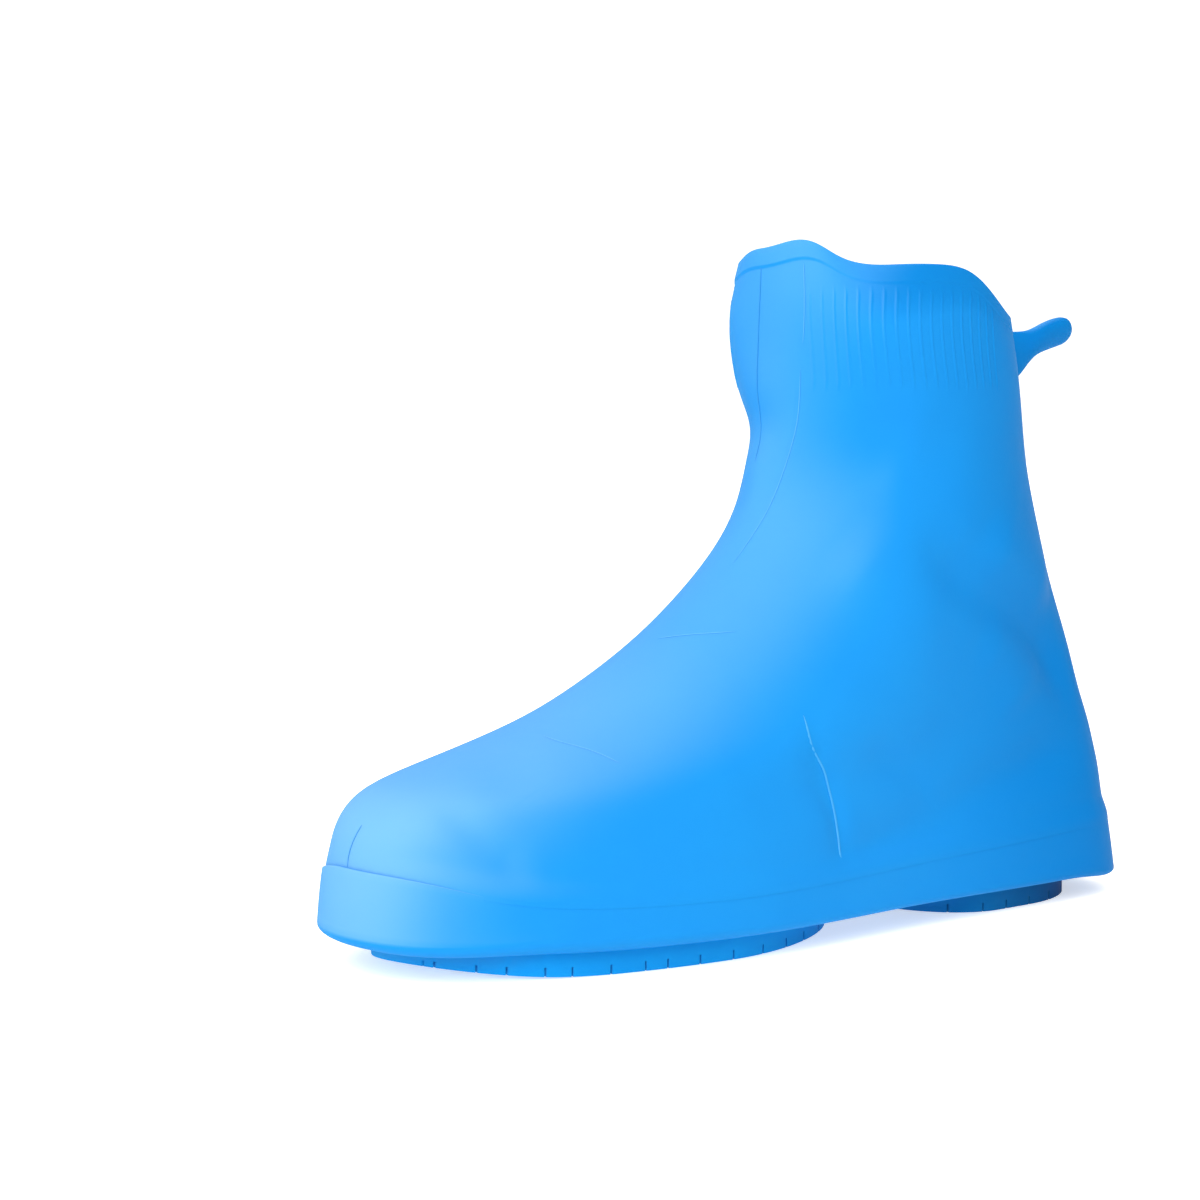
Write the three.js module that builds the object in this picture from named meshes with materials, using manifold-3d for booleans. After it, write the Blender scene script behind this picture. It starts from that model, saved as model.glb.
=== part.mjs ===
// Ankle-high rubber overshoe: a thin moulded upper with a ribbed cuff and a pull tab, on a lugged outsole.
// Millimetres, +Z up. The toe points along -X, and the origin is on the floor under the overshoe's middle.

import * as THREE from "three";
import { mergeVertices } from "three/addons/utils/BufferGeometryUtils.js";
import Module from "manifold-3d";

const wasm = await Module();
wasm.setup();

// Outer form
const footLength = 310;
const footWidth = 116;
const frontHeight = 228;
const rimSideDrop = 7;
const rimBackDrop = 21;
const rimFarDrop = 5;
const toeSpring = 3.5;
const toeSpringLength = 75;
const toeSpringFade = 120;

// Upper
const upperWall = 1.5;
const rimBandHeight = 6.5;
const rimBandStep = 0.5;
const rimEdge = 0.6;
const partingWidth = 1.4;
const partingHeight = 0.4;
const partingEnds = 1;
const bedBlend = 12;

// Ribs of the cuff
const ribCount = 18;
const ribPitch = 4.4;
const ribWidth = 1.7;
const ribHeight = 0.7;
const ribStart = 21.5;
const ribBelowBand = 1.5;
const ribTopBelowFront = 15;
const ribFootBelowFront = 47;

// Pull tab
const tabLength = 47;
const tabThickness = 3.2;
const tabHeight = 24;
const tabBelowRim = 16;

// Outsole
const treadDepth = 6;
const plateThickness = 3;
const foxingHeight = 17.5;
const foxingThickness = 2;
const foxingStep = 1.2;
const soleBevel = 4;
const soleBevelHeight = 1.8;
const seatGap = 0.3;
const foxingFade = 49;
const treadLift = 3;

// Tread pads under the forefoot and the heel, measured from the toe, with grooves between their blocks
const forefootPad = { start: 13, end: 178, roundStart: 42, roundEnd: 66 };
const heelPad = { start: 211, end: 294, roundStart: 30, roundEnd: 28 };
const padInset = 6.5;
const padDraft = 0.8;
const blockPitch = 11;
const grooveWidth = 2.2;
const grooveDepth = 4.5;
const grooveSweep = 9;
const longGroove = 15;

// Depth by which a rib, block or tab is sunk into the wall that carries it
const rooted = 0.7;

// Width of the crown of a rib or ridge, as a share of its foot
const crownShare = 0.6;

// Points around a ring, rings to a row of the sections, and the least share of the height between two rings
const around = 40;
const stepsPerRow = 2;
const ringMargin = 0.008;

// Steps small enough to measure the skin's slope and its length
const slopeStep = 0.002;
const walkStep = Math.PI / 720;
const halvings = 24;

// Plan sections from the sole's edge to the rim. Height is a share of the body's height, toeward and
// heelward are shares of half the foot's length, width is a share of the foot's width, and the two
// fullnesses give the oval's front and back: 2 is an ellipse, more is squarer and less is more pointed.
// Sole is how much of the sole's own outline is left in the section.
const sections = [
  { height: 0.0, toeward: 1.006, heelward: 1.036, width: 1.0, frontFull: 2.0, backFull: 2.0, sole: 1.0 },
  { height: 0.06, toeward: 1.0, heelward: 1.024, width: 0.98, frontFull: 2.0, backFull: 2.0, sole: 1.0 },
  { height: 0.13, toeward: 0.985, heelward: 1.008, width: 0.95, frontFull: 2.0, backFull: 2.0, sole: 1.0 },
  { height: 0.185, toeward: 0.955, heelward: 1.005, width: 0.9, frontFull: 2.0, backFull: 2.0, sole: 0.94 },
  { height: 0.22, toeward: 0.886, heelward: 0.996, width: 0.87, frontFull: 2.0, backFull: 2.0, sole: 0.89 },
  { height: 0.252, toeward: 0.746, heelward: 0.983, width: 0.85, frontFull: 2.05, backFull: 2.0, sole: 0.82 },
  { height: 0.295, toeward: 0.549, heelward: 0.962, width: 0.825, frontFull: 2.05, backFull: 2.0, sole: 0.68 },
  { height: 0.34, toeward: 0.404, heelward: 0.944, width: 0.8, frontFull: 2.05, backFull: 2.0, sole: 0.53 },
  { height: 0.4, toeward: 0.257, heelward: 0.922, width: 0.775, frontFull: 2.05, backFull: 1.95, sole: 0.33 },
  { height: 0.475, toeward: 0.12, heelward: 0.885, width: 0.75, frontFull: 2.0, backFull: 1.95, sole: 0.11 },
  { height: 0.58, toeward: -0.008, heelward: 0.836, width: 0.735, frontFull: 1.8, backFull: 1.9, sole: 0.0 },
  { height: 0.69, toeward: -0.047, heelward: 0.796, width: 0.725, frontFull: 1.65, backFull: 1.9, sole: 0.0 },
  { height: 0.82, toeward: -0.056, heelward: 0.756, width: 0.73, frontFull: 2.1, backFull: 2.1, sole: 0.0 },
  { height: 0.92, toeward: -0.052, heelward: 0.726, width: 0.735, frontFull: 2.25, backFull: 2.25, sole: 0.0 },
  { height: 1.0, toeward: -0.054, heelward: 0.704, width: 0.69, frontFull: 1.9, backFull: 2.4, sole: 0.0 },
];

// Half outline of the sole: turn is a share of the half turn from toe to heel, width of the half width
const soleOutline = [
  { turn: 0.0, width: 0.0 },
  { turn: 0.083, width: 0.36 },
  { turn: 0.167, width: 0.62 },
  { turn: 0.25, width: 0.82 },
  { turn: 0.333, width: 0.95 },
  { turn: 0.417, width: 1.0 },
  { turn: 0.5, width: 0.935 },
  { turn: 0.583, width: 0.84 },
  { turn: 0.667, width: 0.8 },
  { turn: 0.75, width: 0.76 },
  { turn: 0.833, width: 0.68 },
  { turn: 0.917, width: 0.41 },
  { turn: 1.0, width: 0.0 },
];

// Top edge of the foxing: turn is a share of the half turn from toe to heel, height of the foxing's height
const foxingLine = [
  { turn: 0.0, height: 1.43 },
  { turn: 0.1, height: 1.39 },
  { turn: 0.15, height: 1.29 },
  { turn: 0.19, height: 1.16 },
  { turn: 0.255, height: 1.01 },
  { turn: 0.32, height: 0.94 },
  { turn: 0.4, height: 0.9 },
  { turn: 0.5, height: 0.93 },
  { turn: 0.64, height: 1.06 },
  { turn: 0.8, height: 1.22 },
  { turn: 1.0, height: 1.28 },
];

// Fall of the rim from its front to its back, as shares of its three drops. The far side sags a little more.
const rimLine = [
  { back: 0.0, sideDrop: 0.0, backDrop: 0.0, farDrop: 0.0 },
  { back: 0.035, sideDrop: -0.3, backDrop: 0.0, farDrop: 0.95 },
  { back: 0.07, sideDrop: -0.2, backDrop: 0.0, farDrop: 0.95 },
  { back: 0.12, sideDrop: 0.42, backDrop: 0.0, farDrop: 0.9 },
  { back: 0.18, sideDrop: 0.82, backDrop: 0.0, farDrop: 0.8 },
  { back: 0.3, sideDrop: 0.86, backDrop: 0.0, farDrop: 0.7 },
  { back: 0.45, sideDrop: 0.8, backDrop: 0.0, farDrop: 0.5 },
  { back: 0.6, sideDrop: 1.07, backDrop: 0.01, farDrop: 0.3 },
  { back: 0.85, sideDrop: 0.0, backDrop: 0.98, farDrop: 0.0 },
  { back: 1.0, sideDrop: 0.0, backDrop: 0.93, farDrop: 0.0 },
];
const rimSettlesFrom = 0.55;

// Sections of the pull tab, from inside the wall to the tip: along is a share of its length, rise and height
// are shares of its height, thickness of its own, and twist is in turns.
const tabSections = [
  { along: 0.0, rise: 0.0, height: 1.0, thickness: 1.0, twist: 0.0 },
  { along: 0.2, rise: 0.03, height: 0.85, thickness: 0.95, twist: 0.0 },
  { along: 0.43, rise: 0.11, height: 0.7, thickness: 0.95, twist: 0.0 },
  { along: 0.55, rise: 0.23, height: 0.54, thickness: 1.1, twist: 0.01 },
  { along: 0.65, rise: 0.34, height: 0.42, thickness: 1.45, twist: 0.03 },
  { along: 0.79, rise: 0.46, height: 0.41, thickness: 1.7, twist: 0.05 },
  { along: 0.91, rise: 0.51, height: 0.36, thickness: 1.6, twist: 0.05 },
  { along: 1.0, rise: 0.5, height: 0.16, thickness: 0.8, twist: 0.05 },
];
const tabSides = 10;

const rubber = { roughness: 0.5, metalness: 0.0 };
const upperMaterial = new THREE.MeshStandardMaterial({ color: "#2fa6fa", ...rubber });
const outsoleMaterial = new THREE.MeshStandardMaterial({ color: "#1e97ee", ...rubber });

const bodyHeight = frontHeight - treadDepth;
const halfLength = footLength / 2;
const halfWidth = footWidth / 2;
const { lerp, clamp, smoothstep } = THREE.MathUtils;

// A smooth function through a table's rows, from one column to all the others
function curveThrough(rows, key) {
  const names = Object.keys(rows[0]).filter((name) => name !== key);
  const values = rows.flatMap((row) => names.map((name) => row[name]));
  const cubic = new THREE.CubicInterpolant(rows.map((row) => row[key]), values, names.length);
  return (at) => {
    const found = cubic.evaluate(at);
    return Object.fromEntries(names.map((name, i) => [name, found[i]]));
  };
}

const sectionAt = curveThrough(sections, "height");
const soleWidthAt = curveThrough(soleOutline, "turn");
const rimFallAt = curveThrough(rimLine, "back");
const foxingLineAt = curveThrough(foxingLine, "turn");

// How far a place lies into the toe's upward sweep: 0 behind the ball of the foot and 1 at the tip
function toeSweep(x) {
  return clamp((toeSpringLength - halfLength - x) / toeSpringLength, 0, 1) ** 2;
}

// The upward sweep of the toe, which fades out above it
function springAt(x, height) {
  return toeSpring * toeSweep(x) * clamp(1 - (height * bodyHeight) / toeSpringFade, 0, 1);
}

// A point of the outer skin. Turn runs once around, from the toe line along the -Y side to the heel line.
function skin(height, turn) {
  const section = sectionAt(height);
  const back = (1 - Math.cos(turn)) / 2;
  const halfTurn = turn <= Math.PI ? turn : 2 * Math.PI - turn;
  const fullness = back < 0.5 ? section.frontFull : section.backFull;
  const oval = Math.max(0, 1 - Math.abs(2 * back - 1) ** fullness) ** (1 / fullness);
  const across = lerp(oval, soleWidthAt(Math.abs(halfTurn) / Math.PI).width, section.sole);
  const x = lerp(-section.toeward, section.heelward, back) * halfLength;
  const y = -Math.sign(Math.sin(turn)) * across * section.width * halfWidth;
  const fall = rimFallAt(back);
  const sag = turn > Math.PI ? fall.farDrop * rimFarDrop : 0;
  const drop = fall.sideDrop * rimSideDrop + fall.backDrop * rimBackDrop + sag;
  const settled = smoothstep(height, rimSettlesFrom, 1);
  return new THREE.Vector3(x, y, treadDepth + height * bodyHeight - drop * settled + springAt(x, height));
}

// A point off the skin, along its normal: outward if the offset is positive
function offSkin(height, turn, offset) {
  const point = skin(height, turn);
  const along = skin(height, turn + slopeStep).sub(skin(height, turn - slopeStep));
  const up = skin(Math.min(height + slopeStep, 1), turn).sub(skin(Math.max(height - slopeStep, 0), turn));
  return point.addScaledVector(new THREE.Vector3().crossVectors(along, up).normalize(), offset);
}

function ring(height, offset) {
  const turns = Array.from({ length: around }, (_, i) => (2 * Math.PI * i) / around);
  return turns.map((turn) => offSkin(typeof height === "function" ? height(turn) : height, turn, offset));
}

// A closed solid through rings of points. Strips across the first and the last ring close its ends.
function loft(rings) {
  const count = rings[0].length;
  const index = [];
  const quad = (a, b, c, d) => index.push(a, b, c, a, c, d);
  for (let level = 0; level + 1 < rings.length; level += 1) {
    for (let i = 0; i < count; i += 1) {
      const next = (i + 1) % count;
      quad(level * count + i, level * count + next, (level + 1) * count + next, (level + 1) * count + i);
    }
  }
  const last = (rings.length - 1) * count;
  for (let i = 0; i < count / 2; i += 1) {
    const [a, b, c, d] = [i, i + 1, count - i - 1, (count - i) % count];
    if (b !== c) index.push(a, c, b, last + a, last + b, last + c);
    if (a !== d) index.push(a, d, c, last + a, last + c, last + d);
  }
  const geometry = new THREE.BufferGeometry();
  const places = rings.flat().flatMap((point) => point.toArray());
  geometry.setAttribute("position", new THREE.Float32BufferAttribute(places, 3));
  geometry.setIndex(index);
  return geometry;
}

// The height at which the skin reaches a level above the floor
function heightAt(level, turn) {
  let [low, high] = [0, 1];
  for (let halving = 0; halving < halvings; halving += 1) {
    const middle = (low + high) / 2;
    if (skin(middle, turn).z < level) low = middle;
    else high = middle;
  }
  return (low + high) / 2;
}

// The turn at a distance around the skin from the toe line
function turnAt(height, distance) {
  let turn = 0;
  for (let walked = 0; walked < distance && turn < Math.PI; turn += walkStep) {
    walked += skin(height, turn).distanceTo(skin(height, turn + walkStep));
  }
  return turn;
}

function solidOf(geometry) {
  const merged = mergeVertices(geometry);
  const vertProperties = new Float32Array(merged.attributes.position.array);
  const triVerts = new Uint32Array(merged.index.array);
  return new wasm.Manifold(new wasm.Mesh({ numProp: 3, vertProperties, triVerts }));
}

function geometryOf(solid) {
  const { vertProperties, triVerts } = solid.getMesh();
  const geometry = new THREE.BufferGeometry();
  geometry.setAttribute("position", new THREE.BufferAttribute(vertProperties, 3));
  geometry.setIndex(new THREE.BufferAttribute(triVerts, 1));
  geometry.computeVertexNormals();
  return geometry;
}

function joined(base, additions) {
  return additions.reduce((whole, addition) => whole.add(solidOf(addition)), solidOf(base));
}

// Evenly spread heights through the sections' rows, so that rings crowd where the form turns fastest
function heightsBetween(low, high) {
  const rows = sections.map((row) => row.height);
  const heights = rows.slice(1).flatMap((row, i) =>
    Array.from({ length: stepsPerRow }, (_, step) => lerp(rows[i], row, step / stepsPerRow)));
  return [low, ...heights.filter((height) => height > low + ringMargin && height < high - ringMargin), high];
}

const heightShare = (length) => length / bodyHeight;
const foxingTop = heightShare(foxingHeight);
const plateTop = heightShare(plateThickness);
const bandBottom = 1 - heightShare(rimBandHeight);

// The foxing's top edge at a turn, and a height above it that follows its line and levels out further up
function foxingTopAt(turn) {
  const halfTurn = Math.abs(turn <= Math.PI ? turn : 2 * Math.PI - turn);
  return foxingTop * foxingLineAt(halfTurn / Math.PI).height;
}

function overFoxing(height, turn) {
  const levelled = smoothstep(height, foxingTop, heightShare(foxingFade));
  return height + (foxingTopAt(turn) - foxingTop) * (1 - levelled);
}

// The shell of the upper: up the outside, over the rim and down the inside to the foot bed
function shellRings() {
  const seated = -(foxingThickness - foxingStep + seatGap);
  const seatTop = foxingTop + heightShare(seatGap);
  const bottom = plateTop + heightShare(seatGap);
  const bed = bottom + heightShare(upperWall);
  const edge = 1 - heightShare(rimEdge);
  const innerBand = bandBottom - heightShare(rimBandHeight / 2);
  const insideHeights = heightsBetween(foxingTop + heightShare(bedBlend), innerBand).reverse();
  const following = (height, offset) => ring((turn) => overFoxing(height, turn), offset);
  return [
    ring(bottom, seated),
    ring((turn) => (bottom + overFoxing(seatTop, turn)) / 2, seated),
    following(seatTop, seated),
    ...heightsBetween(seatTop, bandBottom).map((height) => following(height, 0)),
    ring(bandBottom, rimBandStep),
    ring(edge, rimBandStep),
    ring(1, rimBandStep - rimEdge),
    ring(1, rimEdge - upperWall),
    ring(edge, -upperWall),
    ...insideHeights.map((height) => following(height, -upperWall)),
    ring(bed, seated - upperWall),
  ];
}

// A raised strip on the skin, at one turn, between two heights. It fades out at both ends.
function strip(turn, bottom, top, width, height) {
  return heightsBetween(bottom, top).map((share) => {
    const faded = share === bottom || share === top ? 0 : height;
    const level = overFoxing(share, turn);
    const reach = skin(level, turn + slopeStep).distanceTo(skin(level, turn - slopeStep));
    const half = (width * slopeStep) / reach;
    return [
      offSkin(level, turn - half * crownShare, faded),
      offSkin(level, turn + half * crownShare, faded),
      offSkin(level, turn + half, -rooted),
      offSkin(level, turn - half, -rooted),
    ];
  });
}

// Vertical ribs along both sides of the cuff, between two levels or from under the rim band where it dips
function ribs() {
  const highest = bandBottom - heightShare(ribBelowBand);
  const turns = Array.from({ length: ribCount }, (_, i) => turnAt(highest, ribStart + i * ribPitch));
  return [...turns, ...turns.map((turn) => 2 * Math.PI - turn)].map((turn) => {
    const foot = heightAt(frontHeight - ribFootBelowFront, turn);
    const top = Math.min(heightAt(frontHeight - ribTopBelowFront, turn), highest);
    return loft(strip(turn, foot, top, ribWidth, ribHeight));
  });
}

// The mould's parting line, a low ridge down the front from the rim to the foxing
function partingRidge() {
  const end = heightShare(partingEnds);
  return loft(strip(0, foxingTop + end, 1 - end, partingWidth, partingHeight));
}

// The pull tab: an upright web on the heel line that narrows to a neck and ends in a thicker finger lobe
function pullTab() {
  const rootLevel = skin(1, Math.PI).z - tabBelowRim;
  const wallAt = (level) => skin(heightAt(level, Math.PI), Math.PI).x;
  const rings = tabSections.map((row) => Array.from({ length: tabSides }, (_, i) => {
    const angle = (2 * Math.PI * i) / tabSides;
    const point = new THREE.Vector3(0, Math.cos(angle) * row.thickness * tabThickness / 2,
      Math.sin(angle) * row.height * tabHeight / 2);
    point.applyAxisAngle(new THREE.Vector3(1, 0, 0), row.twist * 2 * Math.PI);
    point.z += rootLevel + row.rise * tabHeight;
    const wall = lerp(wallAt(Math.min(point.z, rootLevel + tabHeight / 2)), wallAt(rootLevel), row.along);
    point.x = wall - rooted + row.along * tabLength;
    return point;
  }));
  return loft(rings);
}

function upper() {
  return joined(loft(shellRings()), [...ribs(), partingRidge(), pullTab()]);
}

// The outsole's cup: a sole plate with a bevelled edge and a foxing wall around the foot of the upper
function cupRings() {
  const bevelTop = heightShare(soleBevelHeight);
  const inner = foxingStep - foxingThickness;
  const edgeAt = (turn) => foxingTopAt(turn) - heightShare(foxingStep / 2);
  return [
    ring(0, foxingStep - soleBevel),
    ring(bevelTop, foxingStep),
    ring((turn) => (bevelTop + edgeAt(turn)) / 2, foxingStep),
    ring(edgeAt, foxingStep),
    ring(foxingTopAt, foxingStep / 2),
    ring(foxingTopAt, inner),
    ring((turn) => (plateTop + foxingTopAt(turn)) / 2, inner),
    ring(plateTop, inner),
  ];
}

// A solid between levels above the floor, on plan outlines, whose corners follow the sweep of the toe. A lift
// raises a level further there.
function slab(levels) {
  return loft(levels.map(([level, corners, lift = 0]) =>
    corners.map(([x, y]) => new THREE.Vector3(x, y, level + springAt(x, 0) + lift * toeSweep(x)))));
}

// Half the sole's width at a place along the foot
function outlineAt(x) {
  const row = sectionAt(0);
  const back = (x / halfLength + row.toeward) / (row.toeward + row.heelward);
  return Math.abs(skin(0, Math.acos(clamp(1 - 2 * back, -1, 1))).y);
}

// The plan outline of a tread pad: the sole's outline moved in, with rounded ends
function padOutline(pad, inset) {
  const [start, end] = [pad.start - halfLength + inset, pad.end - halfLength - inset];
  const stations = 20;
  const near = Array.from({ length: stations + 1 }, (_, i) => {
    const x = lerp(start, end, (1 - Math.cos((Math.PI * i) / stations)) / 2);
    const short = Math.max(0, 1 - (x - start) / pad.roundStart, 1 - (end - x) / pad.roundEnd);
    return [x, -(outlineAt(x) - padInset - inset) * Math.sqrt(1 - short ** 2)];
  });
  const far = near.slice(1, -1).reverse().map(([x, y]) => [x, -y]);
  return [...near, ...far];
}

// A straight groove between two plan points, up from the floor to the groove's depth
function groove([x0, y0], [x1, y1]) {
  const length = Math.hypot(x1 - x0, y1 - y0);
  const [dx, dy] = [((x1 - x0) / length) * (grooveWidth / 2), ((y1 - y0) / length) * (grooveWidth / 2)];
  const corners = [[x0 + dy, y0 - dx], [x1 + dy, y1 - dx], [x1 - dy, y1 + dx], [x0 - dy, y0 + dx]];
  return slab([[-treadDepth, corners], [grooveDepth, corners]]);
}

// Chevron grooves across a pad and two long ones along it
function padGrooves(pad) {
  const [start, end] = [pad.start - halfLength, pad.end - halfLength];
  const across = [];
  for (let x = start + blockPitch; x < end + grooveSweep; x += blockPitch) {
    across.push(groove([x - grooveSweep, -footWidth], [x, 0]), groove([x, 0], [x - grooveSweep, footWidth]));
  }
  const along = [-longGroove, longGroove].map((y) => groove([start - blockPitch, y], [end + blockPitch, y]));
  return [...across, ...along];
}

function treadPad(pad) {
  const whole = slab([
    [0, padOutline(pad, padDraft), treadLift],
    [padDraft, padOutline(pad, 0), treadLift],
    [treadDepth + rooted, padOutline(pad, 0)],
  ]);
  return padGrooves(pad).reduce((left, cut) => left.subtract(solidOf(cut)), solidOf(whole));
}

function outsole() {
  return solidOf(loft(cupRings())).add(treadPad(forefootPad)).add(treadPad(heelPad));
}

const overshoe = new THREE.Group();
const pieces = [
  ["upper", upper(), upperMaterial],
  ["outsole", outsole(), outsoleMaterial],
];
for (const [name, solid, material] of pieces) {
  const mesh = new THREE.Mesh(geometryOf(solid), material);
  mesh.name = name;
  overshoe.add(mesh);
}

// The tab reaches past the heel, so the pieces move until the origin is under the middle of them all
const middle = new THREE.Box3().setFromObject(overshoe).getCenter(new THREE.Vector3());
overshoe.children.forEach((mesh) => mesh.position.set(-middle.x, -middle.y, 0));

export default overshoe;
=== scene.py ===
import math

import bpy
import numpy as np
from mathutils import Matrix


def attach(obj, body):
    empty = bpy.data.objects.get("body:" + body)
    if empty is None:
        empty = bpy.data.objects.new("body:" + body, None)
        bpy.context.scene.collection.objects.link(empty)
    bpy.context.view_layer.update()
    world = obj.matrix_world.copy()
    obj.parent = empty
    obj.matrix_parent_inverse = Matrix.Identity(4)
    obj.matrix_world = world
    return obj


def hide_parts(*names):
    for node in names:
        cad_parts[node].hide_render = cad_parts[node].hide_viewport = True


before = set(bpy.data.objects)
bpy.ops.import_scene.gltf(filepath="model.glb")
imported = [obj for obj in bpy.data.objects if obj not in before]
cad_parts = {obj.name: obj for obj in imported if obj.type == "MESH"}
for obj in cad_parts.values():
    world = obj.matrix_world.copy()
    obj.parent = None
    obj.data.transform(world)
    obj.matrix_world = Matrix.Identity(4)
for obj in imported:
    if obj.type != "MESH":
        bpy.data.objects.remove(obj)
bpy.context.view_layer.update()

# The upper. One thin skin of soft moulded rubber, open at the top, that stands by itself in the shape of the
# shoe it is pulled over. It is drawn as plan sections from the sole's edge to the rim. Lengths are in
# millimetres of the foot, rises are above the sole's edge, and turns run round from the toe by the near side.
foot_length = 310.0
foot_width = 116.0
front_height = 228.0
tread_depth = 6.0
body_height = front_height - tread_depth
toe_spring = 3.5
toe_spring_length = 75.0
toe_spring_fade = 120.0
rim_side_drop = 7.0
rim_back_drop = 21.0
rim_far_drop = 5.0
rim_settles_from = 0.55
tab_reach = 2.25
upper_wall = 1.5
foxing_height = 17.5
foxing_step = 1.2
foxing_fade = 49.0
foxing_far_dip = 3.0
rim_band_height = 6.5
rim_band_step = 0.5
rib_count = 18
rib_pitch = 4.4
rib_width = 1.1
rib_height = 0.3
rib_start = 21.5
rib_below_band = 1.5
rib_top_below_front = 15.0
rib_foot_below_front = 47.0
rib_end_inside = 1.4
rib_end_outside = 0.8
rib_end_at_band = 1.6
faint_ribs = 5
faint_loss = 0.3
# Where the foxing's far dip sets in, as a turn before the toe in radians
far_dip_sets_in = 0.35
# Degrees from the toe between which the foxing's edge fades, the share of it that goes, and how far up a
# soft swell reaches instead
foxing_edge_turns = (5, 40)
foxing_edge_loss = 0.97
foxing_swell = 9.0
# Degrees from the toe between which the rim band's step fades, and the share of it that goes
band_turns = (26, 52)
band_loss = 0.75
# Where painted shade deepens the cuff's rubber under the rim's sides: degrees from the toe, depths below the
# rim, and how far it goes
rim_shade_turns = (30, 66)
rim_shade_below_rim = (26, 7)
rim_shade_share = 0.75

# Height as a share of the body's, reach to the toe and to the heel as shares of half the foot's length, width
# as a share of the foot's, fullness of the oval's front and back, and how much of the sole's outline is left
sections = (
    (0.0, 1.006, 1.036, 1.0, 2.0, 2.0, 1.0),
    (0.06, 1.0, 1.024, 0.98, 2.0, 2.0, 1.0),
    (0.13, 0.985, 1.008, 0.95, 2.0, 2.0, 1.0),
    (0.185, 0.955, 1.005, 0.9, 2.0, 2.0, 0.94),
    (0.22, 0.886, 0.996, 0.87, 2.0, 2.0, 0.89),
    (0.252, 0.746, 0.983, 0.85, 2.05, 2.0, 0.82),
    (0.295, 0.549, 0.962, 0.825, 2.05, 2.0, 0.68),
    (0.34, 0.404, 0.944, 0.8, 2.05, 2.0, 0.53),
    (0.4, 0.257, 0.922, 0.775, 2.05, 1.95, 0.33),
    (0.475, 0.12, 0.885, 0.75, 2.0, 1.95, 0.11),
    (0.58, -0.008, 0.836, 0.735, 1.8, 1.9, 0.0),
    (0.69, -0.047, 0.796, 0.725, 1.65, 1.9, 0.0),
    (0.82, -0.056, 0.756, 0.73, 2.1, 2.1, 0.0),
    (0.92, -0.052, 0.726, 0.735, 2.25, 2.25, 0.0),
    (1.0, -0.054, 0.704, 0.69, 1.9, 2.4, 0.0),
)
# Share of the half turn from toe to heel, and the sole's width there as a share of the whole
sole_outline = (
    (0.0, 0.0),
    (0.083, 0.36),
    (0.167, 0.62),
    (0.25, 0.82),
    (0.333, 0.95),
    (0.417, 1.0),
    (0.5, 0.935),
    (0.583, 0.84),
    (0.667, 0.8),
    (0.75, 0.76),
    (0.833, 0.68),
    (0.917, 0.41),
    (1.0, 0.0),
)
# Share of the way to the heel, and the rim's fall there as shares of its side, back and far drops
rim_line = (
    (0.0, 0.0, 0.0, 0.0),
    (0.035, -0.3, 0.0, 0.95),
    (0.07, -0.2, 0.0, 0.95),
    (0.12, 0.42, 0.0, 0.9),
    (0.18, 0.82, 0.0, 0.8),
    (0.3, 0.86, 0.0, 0.7),
    (0.45, 0.8, 0.0, 0.5),
    (0.6, 1.07, 0.01, 0.3),
    (0.85, 0.0, 0.98, 0.0),
    (1.0, 0.0, 0.93, 0.0),
)
# Share of the half turn from toe to heel, and the foxing's top edge there as a share of the foxing's height
foxing_line = (
    (0.0, 1.43),
    (0.1, 1.39),
    (0.15, 1.29),
    (0.19, 1.16),
    (0.255, 1.01),
    (0.32, 0.94),
    (0.4, 0.9),
    (0.5, 0.93),
    (0.64, 1.06),
    (0.8, 1.22),
    (1.0, 1.28),
)


def curve_through(rows):
    """A smooth curve through a table's rows, from the first column to all the others."""
    rows = np.array(rows)
    at, values = rows[:, 0], rows[:, 1:]
    gap = np.diff(at)
    bend = np.eye(len(at))
    pull = np.zeros_like(values)
    for i in range(1, len(at) - 1):
        bend[i, i - 1 : i + 2] = gap[i - 1], 2 * (gap[i - 1] + gap[i]), gap[i]
        pull[i] = 3 * ((values[i + 1] - values[i]) / gap[i] - (values[i] - values[i - 1]) / gap[i - 1])
    second = np.linalg.solve(bend, pull)

    def curve(where):
        i = np.clip(np.searchsorted(at, where, side="right") - 1, 0, len(at) - 2)
        step = (where - at[i])[..., None]
        span = gap[i][..., None]
        slope = (values[i + 1] - values[i]) / span - span * (2 * second[i] + second[i + 1]) / 3
        third = (second[i + 1] - second[i]) / (3 * span)
        return values[i] + step * (slope + step * (second[i] + step * third))

    return curve


section_at = curve_through(sections)
sole_width_at = curve_through(sole_outline)
rim_fall_at = curve_through(rim_line)
foxing_line_at = curve_through(foxing_line)


def eased(value, low, high):
    """0 below low, 1 above high, and a soft S between them."""
    share = np.clip((value - low) / (high - low), 0, 1)
    return share * share * (3 - 2 * share)


def half_of(turn):
    """The turn from the toe by the shorter way round."""
    return np.where(turn <= math.pi, turn, 2 * math.pi - turn)


def spring_at(x, rise):
    """The upward sweep of the toe, which fades out above it."""
    reach = np.clip((toe_spring_length - foot_length / 2 - x) / toe_spring_length, 0, 1)
    return toe_spring * reach**2 * np.clip(1 - rise / toe_spring_fade, 0, 1)


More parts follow.
